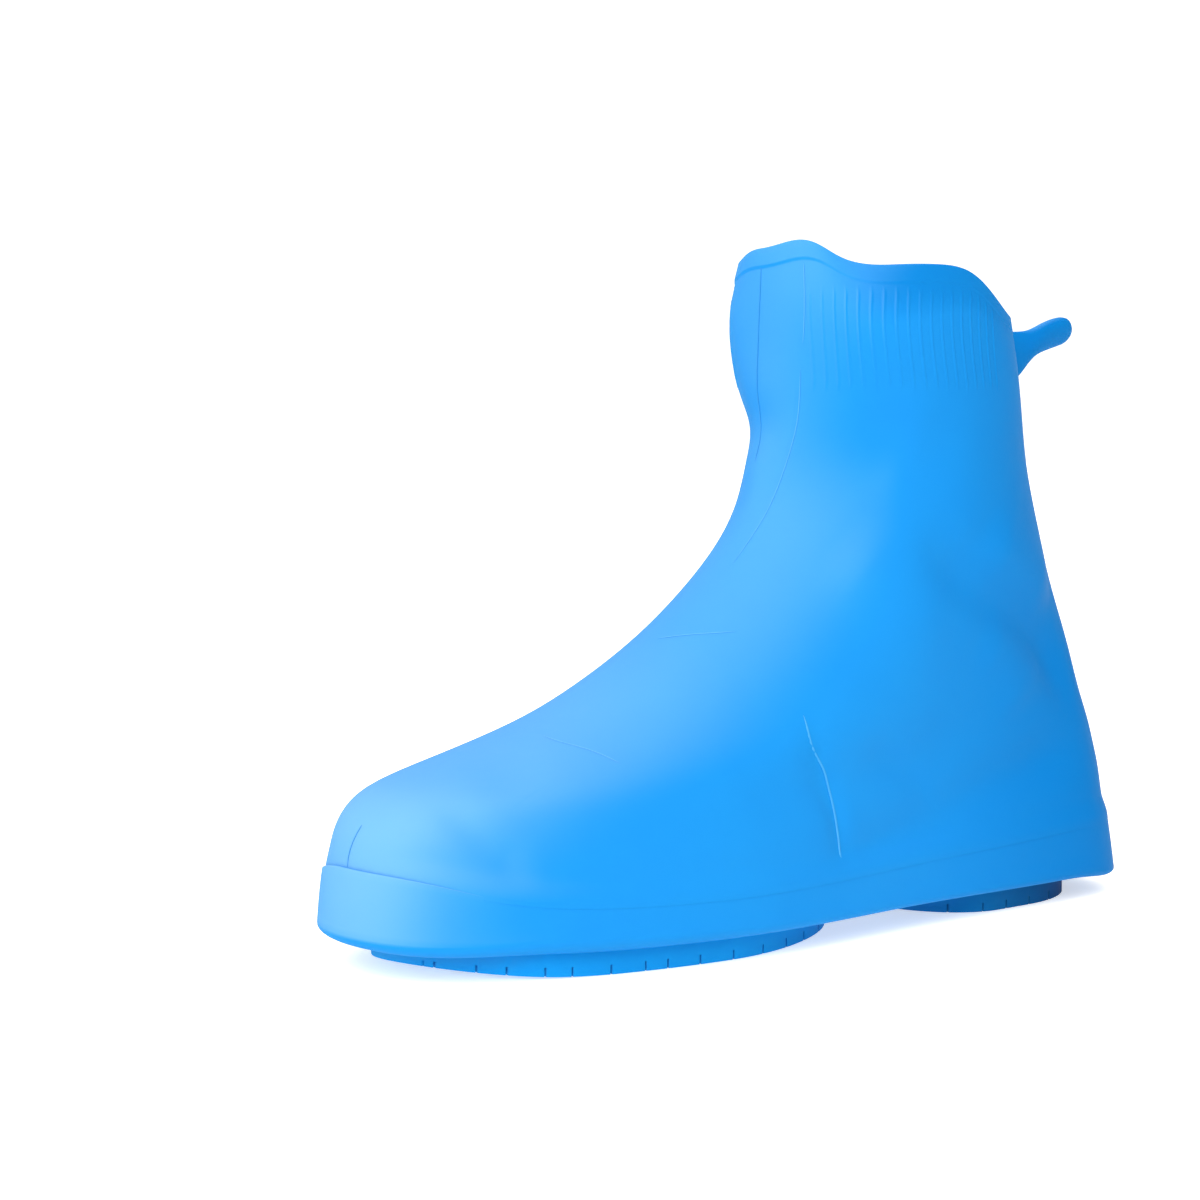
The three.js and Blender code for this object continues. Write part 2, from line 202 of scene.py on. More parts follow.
def drawn_skin(rise, turn):
    """Points of the outer skin as the sections draw it."""
    row = section_at(rise / body_height)
    toeward, heel_shade, width, front_full, back_full, sole = np.moveaxis(row, -1, 0)
    back = (1 - np.cos(turn)) / 2
    fullness = np.where(back < 0.5, front_full, back_full)
    oval = np.maximum(0, 1 - np.abs(2 * back - 1) ** fullness) ** (1 / fullness)
    across = oval + (sole_width_at(half_of(turn) / math.pi)[..., 0] - oval) * sole
    x = (heel_shade * back - toeward * (1 - back)) * foot_length / 2
    y = -np.sign(np.sin(turn)) * across * width * foot_width / 2
    side_drop, back_drop, far_drop = np.moveaxis(rim_fall_at(back), -1, 0)
    drop = side_drop * rim_side_drop + back_drop * rim_back_drop
    drop = drop + np.where(turn > math.pi, far_drop * rim_far_drop, 0)
    z = tread_depth + rise - drop * eased(rise / body_height, rim_settles_from, 1)
    return np.stack([x, y, z + spring_at(x, rise)], -1)


def skin(rise, turn):
    """Points of the outer skin, each eased with its neighbours round the foot as soft rubber would be."""
    rise, turn = np.broadcast_arrays(np.asarray(rise, float), np.asarray(turn, float))
    spread = math.radians(2.0)
    weights = {-2: 1 / 16, -1: 4 / 16, 0: 6 / 16, 1: 4 / 16, 2: 1 / 16}
    return sum(share * drawn_skin(rise, (turn + k * spread) % (2 * math.pi)) for k, share in weights.items())


def off_skin(rise, turn, offset):
    """Points off the skin along its normal, outward where the offset is positive."""
    step = 0.004
    lift = 0.5
    point = skin(rise, turn)
    along = skin(rise, turn + step) - skin(rise, turn - step)
    up = skin(np.minimum(rise + lift, body_height), turn) - skin(np.maximum(rise - lift, 0), turn)
    normal = np.cross(along, up)
    normal /= np.linalg.norm(normal, axis=-1, keepdims=True)
    return point + normal * np.asarray(offset)[..., None]


def foxing_top(turn):
    """The rise of the foxing's top edge, which is a little lower on the far side."""
    dipped = 1 - eased(turn, 2 * math.pi - far_dip_sets_in, 2 * math.pi)
    far_dip = foxing_far_dip * np.where(turn > math.pi, dipped, 0)
    return foxing_height * foxing_line_at(half_of(turn) / math.pi)[..., 0] - far_dip


def over_foxing(rise, turn):
    """A rise that follows the foxing's top edge as the edge climbs and falls, and levels out further up."""
    top = foxing_top(turn)
    above = rise + (top - foxing_height) * (1 - eased(rise, foxing_height, foxing_fade))
    return np.where(rise <= foxing_height, rise * top / foxing_height, above)


def foxing_edge(turn):
    """How sharply the foxing steps out from the upper: fully at the toe, hardly at all along the waist."""
    return 1 - foxing_edge_loss * eased(np.degrees(half_of(turn)), *foxing_edge_turns)


# Steps along each span of a fold's path, the share of its length that fades at either end, and the rises over
# the foxing's edge between which it sets in
fold_steps = 5
fold_fade = 0.3
fold_clears_foxing = (-0.5, 9)
# Folds and dents that wear has left in the front and the near side. A positive height stands out and a
# negative one is a dent. Each runs through its path's points, which are a turn in degrees and a rise.
folds = (
    {"height": -1.3, "width": 4.5, "path": ((64, 71), (76, 59), (86, 46), (89.5, 32), (90, 18))},
    {"height": -0.7, "width": 5.0, "path": ((9, 50), (24.6, 44.1), (33, 36.5), (37.8, 30.8), (43, 22))},
    {"height": -0.7, "width": 10.0, "path": ((2, 61), (14, 58), (24, 54), (33, 47))},
    {"height": -0.8, "width": 4.0, "path": ((84.5, 60), (100, 48), (109, 34.5))},
    {
        "height": -4.0,
        "width": 10.0,
        "path": ((70, 140), (81, 121), (96, 109), (116, 98), (131, 86), (140, 70), (142, 52)),
    },
    {"height": 2.4, "width": 12.0, "path": ((96, 128), (110, 117), (127, 110), (142, 102))},
    {"height": 1.4, "width": 13.0, "path": ((44, 122), (61, 111.5), (78, 100), (96, 90))},
    {"height": 1.2, "width": 11.0, "path": ((102, 92), (116, 78), (126, 62))},
    {"height": 0.6, "width": 7.0, "path": ((74, 182), (70.5, 165), (64, 146), (58, 130))},
    {
        "height": -2.5,
        "width": 11.0,
        "path": ((-84, 162), (-60, 163), (-36, 163), (-14, 162), (8, 160), (26, 158)),
    },
    {"height": -2.0, "width": 9.0, "path": ((84, 18), (92, 22), (106, 30), (120, 39), (136, 47), (150, 50))},
)
# Lines in the near side: the mould's parting line down the front and over the toe, the front panel's edge,
# and fine lines where the rubber has been strained. Height and width are the line's own.
# The parting line's latex is a darker copy, painted shade along its bead
parting = {"latex": "shaded_bead", "height": 0.3, "width": 0.6}
panel_edge = {"latex": "stretched", "height": 0.24, "width": 0.5}
strained = {"latex": "strained", "height": 0.5, "width": 0.9}
stretched = {"latex": "stretched", "height": 0.24, "width": 0.6}
lines = (
    {
        "name": "parting_line_cuff",
        **parting,
        "path": ((1.4, 217), (0.4, 204), (-0.4, 194), (-2, 181), (-4, 168), (-5, 150)),
    },
    {
        "name": "parting_line_toe",
        **parting,
        "path": ((2.8, 38.5), (1.8, 34.6), (1, 30.5), (0.8, 27.3), (1.1, 25.2)),
    },
    {"name": "panel_edge_top", **panel_edge, "path": ((24, 214), (22.8, 207), (22, 198), (21.8, 188))},
    {
        "name": "panel_edge",
        **panel_edge,
        "path": (
            (21.8, 180),
            (24, 168),
            (24.4, 161),
            (22.8, 152.4),
            (18.4, 141.6),
            (14.2, 133),
            (10, 124),
            (7.8, 115.6),
        ),
    },
    {
        "name": "strain_line_side",
        **strained,
        "path": ((65.8, 69), (74.2, 60.7), (82, 53.4), (86.6, 47), (89, 38), (89.8, 27), (89.6, 16.5)),
    },
    {
        "name": "strain_line_toe",
        **stretched,
        "path": ((9, 64.2), (18.8, 62.9), (27, 61.6), (35, 59.7), (41.6, 57.5)),
    },
    {"name": "strain_line_instep", **stretched, "path": ((1.2, 92), (9, 93.2), (16.2, 94), (29.4, 95))},
)


def smooth_path(rows):
    """A curve over a path's points in turn, from the point's number to the turn and the rise."""
    return curve_through([(number, math.radians(turn), rise) for number, (turn, rise) in enumerate(rows)])


def relief_of(fold, points):
    """How far a fold lifts each point of the skin. It fades towards both of its ends."""
    last = len(fold["path"]) - 1
    turn, rise = smooth_path(fold["path"])(np.linspace(0, last, fold_steps * last + 1)).T
    line = skin(rise, turn)
    away = np.full(points.shape[:-1], np.inf)
    share = np.zeros(points.shape[:-1])
    for number, (start, end) in enumerate(zip(line, line[1:])):
        run = end - start
        at = np.clip((points - start) @ run / (run @ run), 0, 1)
        gap = np.linalg.norm(points - start - at[..., None] * run, axis=-1)
        share = np.where(gap < away, (number + at) / (len(line) - 1), share)
        away = np.minimum(gap, away)
    fade = eased(np.minimum(share, 1 - share), 0, fold_fade)
    return fold["height"] * np.exp(-((away / fold["width"]) ** 2)) * fade


def creased(rise, turn, points):
    """How far all the folds together lift points of the skin. Where the foxing holds the rubber, they end."""
    clear = eased(rise - foxing_top(turn), *fold_clears_foxing)
    return clear * sum(relief_of(fold, points) for fold in folds)


# The mesh's columns on each half: from the toe to the ribs, over each rib, and from the ribs to the heel
columns_to_ribs = 16
columns_per_rib = 12
columns_to_heel = 35
walk_samples = 1441
# Distances round the skin under the rim band, which space the ribs and crowd the mesh's columns under them
cuff_rise = body_height - rim_band_height - rib_below_band
walk = np.linspace(0, math.pi, walk_samples)
walked = np.concatenate([[0], np.linalg.norm(np.diff(skin(cuff_rise, walk), axis=0), axis=1).cumsum()])
rib_ends = rib_start - rib_pitch, rib_start + rib_count * rib_pitch
columns = np.concatenate(
    [
        np.linspace(0, rib_ends[0], columns_to_ribs + 1)[:-1],
        np.linspace(*rib_ends, (rib_count + 1) * columns_per_rib + 1)[:-1],
        np.linspace(rib_ends[1], walked[-1], columns_to_heel + 1),
    ]
)
half_turns = np.interp(columns, walked, walk)
turns = np.concatenate([half_turns, 2 * math.pi - half_turns[-2::-1]])


def rib_relief(rise, points):
    """Upright half-round ribs on both sides of the cuff, which run out softly at both ends."""
    stride = np.linalg.norm(np.diff(points, axis=1), axis=2).cumsum(axis=1)
    forward = np.concatenate([np.zeros((len(points), 1)), stride], axis=1)
    distance = np.minimum(forward, forward[:, -1:] - forward)
    index = np.clip(np.rint((distance - rib_start) / rib_pitch), 0, rib_count - 1)
    across = np.abs(distance - rib_start - index * rib_pitch) / (rib_width / 2)
    crown = np.where(across < 1, (1 + np.cos(math.pi * np.minimum(across, 1))) / 2, 0)
    level = points[..., 2]
    rib_foot = front_height - rib_foot_below_front
    rib_top = front_height - rib_top_below_front
    foot = eased(level, rib_foot - rib_end_outside, rib_foot + rib_end_inside)
    top = 1 - eased(level, rib_top - rib_end_inside, rib_top + rib_end_outside)
    under_band = 1 - eased(rise, cuff_rise - rib_end_at_band, cuff_rise)
    full = eased(distance, rib_start, rib_start + faint_ribs * rib_pitch)
    faint = 1 - faint_loss * (1 - full)
    return rib_height * faint * crown * foot * np.minimum(top, under_band)


band_foot = body_height - rim_band_height
rim_radius = upper_wall / 2
# How far the skin's foot lies below the foxing's edge, and its distance off the skin there. It starts inside
# the outsole's cup and comes out close under the edge.
skin_foot = ((4.5, -0.8), (1.1, -0.3), (1.05, 0), (1.0, 0), (0.95, 0), (0.85, 0))
comes_out = 1.08
# The wall's profile from its foot to the rim and down inside: rise, distance off the skin, and share of the
# band's step
outside = [(foxing_height - below, offset, 0) for below, offset in skin_foot]
outside += [(foxing_height + lift, 0, 0) for lift in (0, 0.25, 0.5, 0.8, 1.2, 1.7, 2.3, 3.0, 3.9, 5.0, 6.2)]
plain_rises = np.linspace(25, 164, 64)
ribbed_rises = np.linspace(166, band_foot - 1.2, 36)
outside += [(rise, 0, 0) for rise in np.concatenate([plain_rises, ribbed_rises])]
outside += [(band_foot + lift, 0, float(eased(lift, -0.7, 0.7))) for lift in np.linspace(-0.8, 0.8, 9)]
outside += [(band_foot + lift, 0, 1) for lift in (2.0, 3.5, rim_band_height - rim_radius)]
over_rim = [
    (
        body_height - rim_radius * (1 - math.sin(angle)),
        rim_radius * (math.cos(angle) - 1),
        (1 + math.cos(angle)) / 2,
    )
    for angle in np.linspace(0, math.pi, 11)[1:-1]
]
inside = [(rise, -upper_wall, 0) for rise in np.linspace(body_height - rim_radius, 6, 26)]
profile = np.array(outside + over_rim + inside + outside[:1])


def laid_grid(name, across, rows, place, thickness=None):
    """A flat grid whose points are carried to their places, by column and by row, and whose seams are closed.
    It may carry a share of painted shade at each point, in an attribute named thickness, which its material
    reads."""
    bpy.ops.object.select_all(action="DESELECT")
    bpy.ops.mesh.primitive_grid_add(x_subdivisions=across, y_subdivisions=rows, size=1)
    piece = bpy.context.object
    piece.name = name
    flat = np.empty(len(piece.data.vertices) * 3)
    piece.data.vertices.foreach_get("co", flat)
    flat = flat.reshape(-1, 3) + 0.5
    column = np.rint(flat[:, 0] * across).astype(int)
    row = np.rint(flat[:, 1] * rows).astype(int)
    placed = np.asarray(place())[row, column] - (tab_reach, 0, 0)
    piece.data.vertices.foreach_set("co", (placed / 1000).ravel())
    if thickness is not None:
        carried = piece.data.attributes.new("thickness", "FLOAT", "POINT")
        carried.data.foreach_set("value", thickness[row, column])
    bpy.ops.object.mode_set(mode="EDIT")
    bpy.ops.mesh.select_all(action="SELECT")
    bpy.ops.mesh.remove_doubles(threshold=0.000001)
    bpy.ops.mesh.normals_make_consistent(inside=False)
    bpy.ops.object.mode_set(mode="OBJECT")
    bpy.ops.object.shade_smooth()
    return piece


def upper_points():
    """The profile laid round the foot, with its folds and, outside, the ribs and the foxing's swell."""
    turn = turns[None, :]
    level = profile[:, 0][:, None]
    rise = over_foxing(level, turn)
    base = skin(rise, turn)
    relief = creased(rise, turn, base)
    outer = (np.arange(len(profile)) < len(outside))[:, None]
    settled = 1 - eased(level, foxing_height, foxing_height + foxing_swell)
    swell = foxing_step * (1 - foxing_edge(turn)) * settled
    fine = rib_relief(level, base) + np.where(level > foxing_height - comes_out, swell, 0)
    band = rim_band_step * (1 - band_loss * eased(np.degrees(half_of(turn)), *band_turns))
    offset = profile[:, 1][:, None] + profile[:, 2][:, None] * band
    return off_skin(rise, turn, offset + relief + np.where(outer, fine, 0))


# How much painted shade deepens the cuff under the rim's sides, which the upper's skin carries to its
# material
cuff_rises = [body_height - below for below in rim_shade_below_rim]
cuff_fall = eased(profile[:, 0], *cuff_rises)[:, None]
painted_rim_shade = rim_shade_share * cuff_fall * eased(np.degrees(half_of(turns)), *rim_shade_turns)[None, :]
upper = laid_grid("upper_skin", len(turns) - 1, len(profile) - 1, upper_points, painted_rim_shade)


def linear(code):
    """An sRGB hex colour as the linear colour that a socket takes."""
    channels = [int(code[i : i + 2], 16) / 255 for i in (1, 3, 5)]
    return [c / 12.92 if c <= 0.04045 else ((c + 0.055) / 1.055) ** 2.4 for c in channels] + [1.0]


def node(material, kind, inputs=None, **settings):
    """Adds a node with its settings. An input is a value, or another node's socket to link from."""
    made = material.node_tree.nodes.new(kind)
    for key, value in settings.items():
        setattr(made, key, value)
    for key, value in (inputs or {}).items():
        if isinstance(value, bpy.types.NodeSocket):
            material.node_tree.links.new(value, made.inputs[key])
        else:
            made.inputs[key].default_value = value
    return made


# Sizes of the latex's patterns. The bloom is drawn coarser than it is, so that it shows.
cloud_size = 36.0
swell_size = 17.0
bloom_size = 1.1
# Distances behind the foot's middle: where the painted shade towards the heel is full, and where the painted
# sheen starts to grow and is full
heel_shade_by = 145.0
sheen_from = -30.0
sheen_full_by = -140.0
# The painted sheen's share before it grows, the direction towards the light that the sheen stands for, and
# how squarely a face looks that way where the sheen starts and where all of it lies
sheen_least = 0.4
sheen_facing = (-0.75, -0.15, 0.6)
sheen_squarely = (0.44, 0.97)


def latex_colour(material, place, light, deep, shade_colour, sheen_colour):
    """The latex's colour. It clouds over patches of a few centimetres. Painted shade deepens it towards the
    heel and under the rim's sides, and a painted sheen, for the light from above and the toe's side, pales it
    wherever it faces up or forward, most of all on the toe."""
    along = node(material, "ShaderNodeSeparateXYZ", {0: place}).outputs["X"]
    cloud = node(
        material,
        "ShaderNodeTexNoise",
        {"Vector": place, "Scale": 1000 / cloud_size, "Detail": 3.0, "Roughness": 0.55},
    )
    clouded = node(
        material,
        "ShaderNodeMix",
        {"Factor": cloud.outputs["Fac"], "A": linear(deep), "B": linear(light)},
        data_type="RGBA",
    )
    # Painted shade, deeper towards the heel and where the skin carries the rim's shade
    heel_shade = node(
        material,
        "ShaderNodeMapRange",
        {"Value": along, "From Max": heel_shade_by / 1000},
        interpolation_type="SMOOTHSTEP",
    )
    rim_shade_read = node(material, "ShaderNodeAttribute", attribute_name="thickness")
    painted_shade = node(
        material,
        "ShaderNodeMath",
        {0: heel_shade.outputs[0], 1: rim_shade_read.outputs["Fac"]},
        operation="MAXIMUM",
    )
    deepened = node(
        material,
        "ShaderNodeMix",
        {"Factor": painted_shade.outputs[0], "A": clouded.outputs["Result"], "B": linear(shade_colour)},
        data_type="RGBA",
    )
    # Painted sheen on faces that look up and towards the toe's side, where the light comes from
    facing = node(material, "ShaderNodeNewGeometry").outputs["Normal"]
    upward = node(
        material,
        "ShaderNodeVectorMath",
        {0: facing, 1: sheen_facing},
        operation="DOT_PRODUCT",
    )
    settled = node(
        material,
        "ShaderNodeMapRange",
        {"Value": upward.outputs["Value"], "From Min": sheen_squarely[0], "From Max": sheen_squarely[1]},
        interpolation_type="SMOOTHSTEP",
    )
    toeward = node(
        material,
        "ShaderNodeMapRange",
        {"Value": along, "From Min": sheen_from / 1000, "From Max": sheen_full_by / 1000, "To Min": sheen_least},
    )
    sheen = node(
        material,
        "ShaderNodeMath",
        {0: settled.outputs[0], 1: toeward.outputs[0]},
        operation="MULTIPLY",
    )
    paled = node(
        material,
        "ShaderNodeMix",
        {"Factor": sheen.outputs[0], "A": deepened.outputs["Result"], "B": linear(sheen_colour)},
        data_type="RGBA",
    )
    return paled.outputs["Result"]


def moulded_latex(name, light, deep, shade_colour, sheen_colour, roughness):
    """Soft latex rubber out of a polished mould. It looks even and slightly waxy, because light sinks a
    little way in. Its surface swells a little, and a fine bloom breaks up the gloss."""
    material = bpy.data.materials.new(name)
    material.use_nodes = True
    material.node_tree.nodes.clear()
    place = node(material, "ShaderNodeTexCoord").outputs["Object"]
    colour = latex_colour(material, place, light, deep, shade_colour, sheen_colour)
    bloom = node(material, "ShaderNodeTexNoise", {"Vector": place, "Scale": 1000 / bloom_size, "Detail": 2.0})
    gloss = node(
        material,
        "ShaderNodeMapRange",
        {"Value": bloom.outputs["Fac"], "To Min": roughness - 0.04, "To Max": roughness + 0.06},
    )
    swell = node(material, "ShaderNodeTexNoise", {"Vector": place, "Scale": 1000 / swell_size, "Detail": 2.0})
    ripple = node(
        material,
        "ShaderNodeBump",
        {"Height": swell.outputs["Fac"], "Strength": 0.25, "Distance": 0.0012},
    )
    grain = node(
        material,
        "ShaderNodeBump",
        {"Height": bloom.outputs["Fac"], "Strength": 0.12, "Distance": 0.0002, "Normal": ripple.outputs[0]},
    )
    surface = node(
        material,
        "ShaderNodeBsdfPrincipled",
        {
            "Base Color": colour,
            "Roughness": gloss.outputs["Result"],
            "IOR": 1.52,
            "Specular IOR Level": 0.05,
            "Subsurface Weight": 0.1,
            "Subsurface Radius": (0.3, 0.7, 1.0),
            "Subsurface Scale": 0.002,
            "Normal": grain.outputs[0],
        },
    )
    node(material, "ShaderNodeOutputMaterial", {"Surface": surface.outputs["BSDF"]})
    return material


# Its colours: light and deep tones of the rubber, a painted shade colour towards the heel and under the rim's
# sides, and a pale painted sheen colour
blue_latex = moulded_latex("blue_latex_moulded", "#1987d2", "#1580cd", "#006db6", "#649fd3", 0.62)
upper.data.materials.append(blue_latex)
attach(upper, "root")
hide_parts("upper")

# The lines in the upper. Each is a bead of rubber, partly sunk in the skin, that runs out to nothing at both
# ends. Strained rubber and the front panel's edge are paler, and the parting line is painted darker, for the
# shade along its bead.
line_sides = 8
line_stations = 120
line_taper = 0.12
line_lift = 0.1
line_sunk = 0.1


def line_points(line):
    """A bead's rings, laid along its path on the creased skin."""
    walk = np.linspace(0, len(line["path"]) - 1, line_stations + 1)
    turn, rise = smooth_path(line["path"])(walk).T
    lift = creased(rise, turn, skin(rise, turn)) + line_lift
    middle = off_skin(rise, turn, lift)
    outward = off_skin(rise, turn, lift + 1) - middle
    forward = np.gradient(middle, axis=0)
    sideways = np.cross(outward, forward)
    sideways /= np.linalg.norm(sideways, axis=1, keepdims=True)
    taper = np.sqrt(np.clip(np.minimum(walk, walk[::-1]) / (line_taper * walk[-1]), 0, 1))
    angle = np.linspace(0, 2 * math.pi, line_sides + 1)[None, :, None]
    across = sideways[:, None] * np.cos(angle) * line["width"] / 2
    up = outward[:, None] * (np.sin(angle) - line_sunk) * line["height"] / 2
    return middle[:, None] + (across + up) * taper[:, None, None]


# Each bead's latex has its own tones and its painted shade and sheen colours. The shaded bead's latex is
# darker throughout, painted shade for the parting line's bead.
line_latex = {
    "strained": moulded_latex("blue_latex_strained", "#3e98d8", "#3892d2", "#2084c8", "#70aadc", 0.6),
    "stretched": moulded_latex("blue_latex_stretched", "#3c94d4", "#368ed0", "#1c84c6", "#6ca6d6", 0.6),
    "shaded_bead": moulded_latex("blue_latex_shaded_bead", "#2080c8", "#1c7ac2", "#046aae", "#5c98ce", 0.6),
}
for line in lines:
    bead = laid_grid(line["name"], line_sides, line_stations, lambda: line_points(line))
    bead.data.materials.append(line_latex[line["latex"]])
    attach(bead, "root")
    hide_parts("upper")

# The pull tab. A grip for the fingers at the back of the cuff, moulded with the upper: an upright web that
# twists as it narrows to a neck, and a thicker lobe at its end. It is drawn as sections from the wall out.
tab_length = 47.0
tab_thickness = 3.2
tab_height = 24.0
tab_below_rim = 16.0
tab_sunk = 0.7
tab_tip = 0.09
tab_flare = 0.9
tab_flare_length = 1.6
tab_flare_upright = 0.12
tab_wall_from = 150.0
tab_wall_samples = 200
# Share of the length, rise and height as shares of the height, share of the thickness, and twist in turns
tab_sections = (
    (0.0, 0.0, 1.0, 1.0, 0.0),
    (0.2, 0.03, 0.85, 0.9, 0.0),
    (0.4, 0.12, 0.68, 0.85, 0.0),
    (0.52, 0.22, 0.54, 1.1, 0.02),
    (0.62, 0.33, 0.5, 1.7, 0.05),
    (0.77, 0.44, 0.5, 2.0, 0.06),
    (0.91, 0.49, 0.43, 1.8, 0.06),
    (1.0, 0.48, 0.3, 1.1, 0.06),
)
tab_sides = 32
tab_stations = 48


def tab_points():
    """The tab's rings from the wall outward. The first lies along the wall's slope, the last is upright."""
    heel_rises = np.linspace(tab_wall_from, body_height, tab_wall_samples)
    heel_line = skin(heel_rises, math.pi)
    root_level = heel_line[-1, 2] - tab_below_rim
    along = np.concatenate([[0.0], np.linspace(0.0, 1.0, tab_stations)])
    rise, height, thickness, twist = curve_through(tab_sections)(along).T[:, :, None]
    along = along[:, None]
    angle = np.linspace(0, 2 * math.pi, tab_sides + 1)[None, :]
    flare = 1 + tab_flare * np.exp(-along * tab_length / tab_flare_length)
    closed = np.ones_like(along)
    closed[0] = 0
    tip = np.sqrt(1 - np.clip(1 - (1 - along) / tab_tip, 0, 1) ** 2)
    y = np.cos(angle) * thickness * tab_thickness / 2 * flare * closed * tip
    z = np.sin(angle) * height * tab_height / 2 * (1 + (flare - 1) * tab_flare_upright) * closed * tip
    swing = twist * 2 * math.pi
    y, z = y * np.cos(swing) - z * np.sin(swing), y * np.sin(swing) + z * np.cos(swing)
    z = z + root_level + rise * tab_height
    wall = np.interp(np.minimum(z, root_level + tab_height / 2), heel_line[:, 2], heel_line[:, 0])
    root_x = np.interp(root_level, heel_line[:, 2], heel_line[:, 0])
    x = wall + (root_x - wall) * along - tab_sunk + along * tab_length
    return np.stack([x, y, z], -1)


tab = laid_grid("pull_tab", tab_sides, tab_stations, tab_points)
tab.data.materials.append(blue_latex)
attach(tab, "root")
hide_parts("upper")

# The outsole's cup. A sole plate with a rounded edge and a low wall, the foxing, which grips the foot of the
# upper all round. It is moulded of the same rubber, and its top edge is a soft step that fades at the waist.
foxing_thickness = 2.0
plate_thickness = 3.0
sole_bevel = 4.0
sole_bevel_height = 2.4
sole_lift = 2.3
toe_bevel = 8.0
toe_bevel_height = 4.5
toe_bevel_turns = (45, 95)
foxing_recess = 0.15
foxing_rounding = 0.15
toe_rounding_more = 0.55
# Distances behind the foot's middle between which the underside rises and falls again, and how far above the
# treads that lift starts to fade
sole_rises = (-150, -105)
sole_falls = (118, 154)
lift_fades_from = 4.0
# How wide the plate's flat rings are, as shares of the outermost, and how many rings the rest of the cup has
flat_shares = (0.0, 0.4, 0.75)
bevel_rings = 9
wall_rings = 10
edge_rings = 5
inner_rings = 5


def sole_lift_at(x):
    """How much higher the sole's underside stands over the treads and the waist than at the two ends."""
    return sole_lift * eased(x, *sole_rises) * (1 - eased(x, *sole_falls))


def cup_points():
    """The cup's rings: out under the plate, round the bevel, up the foxing, over its edge and down inside."""
    turn = turns[None, :]
    inner = foxing_step - foxing_thickness
    outer = foxing_step - foxing_recess * (1 - foxing_edge(turn))
    rounding = foxing_rounding + toe_rounding_more * foxing_edge(turn)
    edge = over_foxing(np.full_like(turn, foxing_height), turn) - rounding
    front = 1 - eased(np.degrees(half_of(turn)), *toe_bevel_turns)
    bevel = sole_bevel + (toe_bevel - sole_bevel) * front
    bevel_height = sole_bevel_height + (toe_bevel_height - sole_bevel_height) * front
    rings = []
    for share in flat_shares:
        ring = off_skin(0.0, turn, outer - bevel)
        rings.append(ring * (1, share, 1))
    for angle in np.linspace(0, math.pi / 2, bevel_rings):
        offset = outer - bevel * (1 - math.sin(angle))
        rings.append(off_skin(bevel_height * (1 - math.cos(angle)), turn, offset))
    for share in np.linspace(0, 1, wall_rings + 1)[1:]:
        rings.append(off_skin(bevel_height + (edge - bevel_height) * share, turn, outer))
    for angle in np.linspace(0, math.pi / 2, edge_rings + 1)[1:]:
        lift = rounding * math.sin(angle)
        rings.append(off_skin(edge + lift, turn, outer - rounding * (1 - math.cos(angle))))
    for share in np.linspace(1, 0, inner_rings):
        rings.append(off_skin(plate_thickness + (edge + rounding - plate_thickness) * share, turn, inner))
    for share in flat_shares[::-1]:
        rings.append(off_skin(plate_thickness, turn, inner) * (1, share, 1))
    points = np.concatenate([np.broadcast_to(ring, (1, len(turns), 3)) for ring in rings])
    lifted = 1 - eased(points[..., 2], tread_depth + lift_fades_from, foxing_height)
    points[..., 2] += sole_lift_at(points[..., 0]) * lifted
    return points


cup_rings = 2 * len(flat_shares) + bevel_rings + wall_rings + edge_rings + inner_rings
cup = laid_grid("outsole_cup", len(turns) - 1, cup_rings - 1, cup_points)
cup.data.materials.append(blue_latex)
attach(cup, "root")
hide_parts("outsole")

# The treads. Two thick rubber pads under the forefoot and the heel, moulded with the sole, with rounded ends
# and chevron grooves that part them into blocks. The waist between them stays clear of the floor.

# Where each tread starts and ends behind the toe, how long its round ends are, and where its grooves come out
treads = (
    {
        "name": "forefoot_tread",
        "start": 13.0,
        "end": 185.0,
        "round_start": 42.0,
        "round_end": 74.0,
        "grooves": (16, 26.5, 34.5, 45.5, 54, 67, 79, 87, 99, 112, 125, 137, 148, 160),
    },
    {
        "name": "heel_tread",
        "start": 211.0,
        "end": 300.0,
        "round_start": 30.0,
        "round_end": 42.0,
        "grooves": (219, 231, 242, 254, 266, 277, 288),
    },
)
tread_inset = 8.5
tread_lift = 3.0
tread_sunk = 0.7
groove_width = 0.7
groove_depth = 2.2
groove_sweep = 9.0
chevron_ahead = 0.4
chevron_across = 0.6
long_groove = 15.0
long_groove_over = 10.0
block_rounding = 0.5
tread_stations = 60
edge_samples = 400


def sole_half_width(x):
    """Half the width of the sole's edge at a place along the foot."""
    turn = np.linspace(0, math.pi, edge_samples)
    edge = skin(0.0, turn)
    return np.interp(x, edge[:, 0], -edge[:, 1])


def plan_of(tread):
    """A tread's outline from above: the sole's own, set in and rounded off at both ends."""
    start = tread["start"] - foot_length / 2
    end = tread["end"] - foot_length / 2
    x = start + (end - start) * (1 - np.cos(np.linspace(0, math.pi, tread_stations + 1))) / 2
    short = np.maximum(1 - (x - start) / tread["round_start"], 1 - (end - x) / tread["round_end"])
    y = -(sole_half_width(x) - tread_inset) * np.sqrt(1 - np.clip(short, 0, 1) ** 2)
    return np.concatenate([np.stack([x, y], -1), np.stack([x, -y], -1)[-2:0:-1]])


def cut_block(x0, y0, x1, y1):
    """A long block for the cutter of one groove, between two plan points."""
    middle = ((x0 + x1) / 2000, (y0 + y1) / 2000, (groove_depth - tread_depth) / 2000)
    bpy.ops.mesh.primitive_cube_add(
        size=1,
        location=middle,
        rotation=(0, 0, math.atan2(y1 - y0, x1 - x0)),
        scale=(math.hypot(x1 - x0, y1 - y0) / 1000, groove_width / 1000, (groove_depth + tread_depth) / 1000),
    )
    return bpy.context.object


